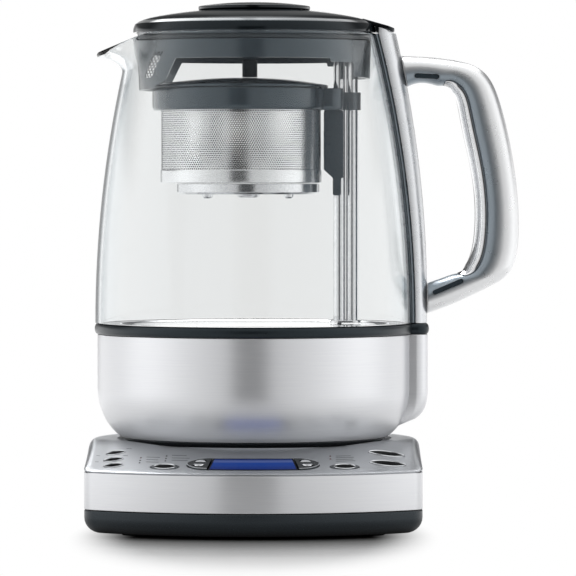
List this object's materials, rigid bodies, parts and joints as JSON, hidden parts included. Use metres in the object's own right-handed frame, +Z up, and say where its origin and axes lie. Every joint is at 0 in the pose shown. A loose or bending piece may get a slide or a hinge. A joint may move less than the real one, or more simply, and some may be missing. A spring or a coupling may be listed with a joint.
{
  "type": "automatic tea maker",
  "caption": "Glass tea jug with a motor-driven tea basket on a post, a lift-off lid and a loop handle, standing on a powered base with keys and a display.",
  "frame": {"origin": "under the jug's axis, on the surface that the feet stand on", "axes": "+Z up along the jug's axis, +X towards the handle, -Y towards the control panel"},
  "size_m": [0.2104, 0.1798, 0.2562],
  "materials": {
    "black_plastic": "glossy",
    "slate_plastic": "satin",
    "silver_plastic": "satin silver",
    "brushed_steel": "brushed",
    "polished_steel": "polished",
    "key_chrome": "metallised",
    "clear_glass": "clear",
    "display_blue": "lit blue",
    "rubber": "matt",
    "silicone": "matt",
    "board": "matt",
    "element_metal": "matt",
    "magnet_metal": "plated"
  },
  "bodies": {
    "base": {"base_tub": "black_plastic", "foot_1": "rubber", "foot_2": "rubber", "foot_3": "rubber", "foot_4": "rubber", "cord_gland": "rubber", "base_steel_wrap": "brushed_steel", "base_cover": "silver_plastic", "display_window": "display_blue", "display_pod_left": "slate_plastic", "display_pod_right": "slate_plastic", "control_board": "board", "base_connector": "black_plastic"},
    "corner_key_1": {"corner_key_1": "key_chrome"},
    "corner_key_2": {"corner_key_2": "key_chrome"},
    "corner_key_3": {"corner_key_3": "key_chrome"},
    "middle_key_left": {"middle_key_left": "key_chrome"},
    "middle_key_right": {"middle_key_right": "key_chrome"},
    "large_key_back": {"large_key_back": "key_chrome"},
    "large_key_front": {"large_key_front": "key_chrome"},
    "arrow_key_left_up": {"arrow_key_left_up": "key_chrome"},
    "arrow_key_left_down": {"arrow_key_left_down": "key_chrome"},
    "arrow_key_right_up": {"arrow_key_right_up": "key_chrome"},
    "arrow_key_right_down": {"arrow_key_right_down": "key_chrome"},
    "jug": {"glass_jug": "clear_glass", "jug_band": "black_plastic", "steel_bowl": "brushed_steel", "jug_bottom_cover": "black_plastic", "jug_connector": "black_plastic", "floor_seal": "silicone", "heater_plate": "polished_steel", "heating_element": "element_metal", "thermostat": "black_plastic", "drive_tube": "polished_steel", "sensor_tube": "polished_steel", "post_foot": "polished_steel", "drive_motor": "magnet_metal", "handle_spine": "silver_plastic", "handle_loop": "silver_plastic", "handle_grip": "polished_steel"},
    "screw": {"lead_screw": "polished_steel"},
    "carriage": {"magnet_carriage": "magnet_metal"},
    "basket": {"basket_collar": "slate_plastic", "basket_cup": "brushed_steel", "basket_base": "brushed_steel", "basket_bracket": "slate_plastic", "basket_magnet": "magnet_metal"},
    "basket_lid": {"basket_lid": "slate_plastic", "basket_lid_rod": "black_plastic"},
    "lid": {"lid_cover": "slate_plastic", "lid_knob": "black_plastic", "lid_skirt": "slate_plastic", "lid_seal": "silicone", "lid_tab": "black_plastic"}
  },
  "joints": [
    {"name": "jug_lift", "type": "slide", "parent": "base", "child": "jug", "axis": [0, 0, 1], "range_m": [0, 0.05]},
    {"name": "lid_lift", "type": "slide", "parent": "jug", "child": "lid", "axis": [0, 0, 1], "range_m": [0, 0.045]},
    {"name": "basket_drive", "type": "slide", "parent": "jug", "child": "basket", "axis": [0, 0, 1], "range_m": [-0.058, 0]},
    {"name": "carriage_drive", "type": "slide", "parent": "jug", "child": "carriage", "axis": [0, 0, 1], "range_m": [-0.058, 0]},
    {"name": "screw_spin", "type": "hinge", "parent": "jug", "child": "screw", "pos_m": [0.0417, 0, 0.0952], "axis": [0, 0, 1], "range_deg": [0, 3481]},
    {"name": "basket_lid_lift", "type": "slide", "parent": "basket", "child": "basket_lid", "axis": [0, 0, 1], "range_m": [0, 0.012]},
    {"name": "corner_key_1_press", "type": "slide", "parent": "base", "child": "corner_key_1", "axis": [0.2008, 0.2286, -0.9526], "range_m": [0, 0.0008], "stiffness_N_per_m": 2500},
    {"name": "corner_key_2_press", "type": "slide", "parent": "base", "child": "corner_key_2", "axis": [0.1882, 0.2391, -0.9526], "range_m": [0, 0.0008], "stiffness_N_per_m": 2500},
    {"name": "corner_key_3_press", "type": "slide", "parent": "base", "child": "corner_key_3", "axis": [0.1762, 0.248, -0.9526], "range_m": [0, 0.0008], "stiffness_N_per_m": 2500},
    {"name": "middle_key_left_press", "type": "slide", "parent": "base", "child": "middle_key_left", "axis": [0.1125, 0.2827, -0.9526], "range_m": [0, 0.0008], "stiffness_N_per_m": 2500},
    {"name": "middle_key_right_press", "type": "slide", "parent": "base", "child": "middle_key_right", "axis": [-0.1125, 0.2827, -0.9526], "range_m": [0, 0.0008], "stiffness_N_per_m": 2500},
    {"name": "large_key_back_press", "type": "slide", "parent": "base", "child": "large_key_back", "axis": [-0.1873, 0.2398, -0.9526], "range_m": [0, 0.0008], "stiffness_N_per_m": 2500},
    {"name": "large_key_front_press", "type": "slide", "parent": "base", "child": "large_key_front", "axis": [-0.1688, 0.2531, -0.9526], "range_m": [0, 0.0008], "stiffness_N_per_m": 2500},
    {"name": "arrow_key_left_up_press", "type": "slide", "parent": "base", "child": "arrow_key_left_up", "axis": [0.0679, 0.2966, -0.9526], "range_m": [0, 0.0008], "stiffness_N_per_m": 2000},
    {"name": "arrow_key_left_down_press", "type": "slide", "parent": "base", "child": "arrow_key_left_down", "axis": [0.0679, 0.2966, -0.9526], "range_m": [0, 0.0008], "stiffness_N_per_m": 2000},
    {"name": "arrow_key_right_up_press", "type": "slide", "parent": "base", "child": "arrow_key_right_up", "axis": [-0.0679, 0.2966, -0.9526], "range_m": [0, 0.0008], "stiffness_N_per_m": 2000},
    {"name": "arrow_key_right_down_press", "type": "slide", "parent": "base", "child": "arrow_key_right_down", "axis": [-0.0679, 0.2966, -0.9526], "range_m": [0, 0.0008], "stiffness_N_per_m": 2000}
  ],
  "couplings": [
    {"joint": "carriage_drive", "follows": "basket_drive", "ratio": 1},
    {"joint": "screw_spin", "follows": "basket_drive", "rad_per_m": -1047.2}
  ]
}
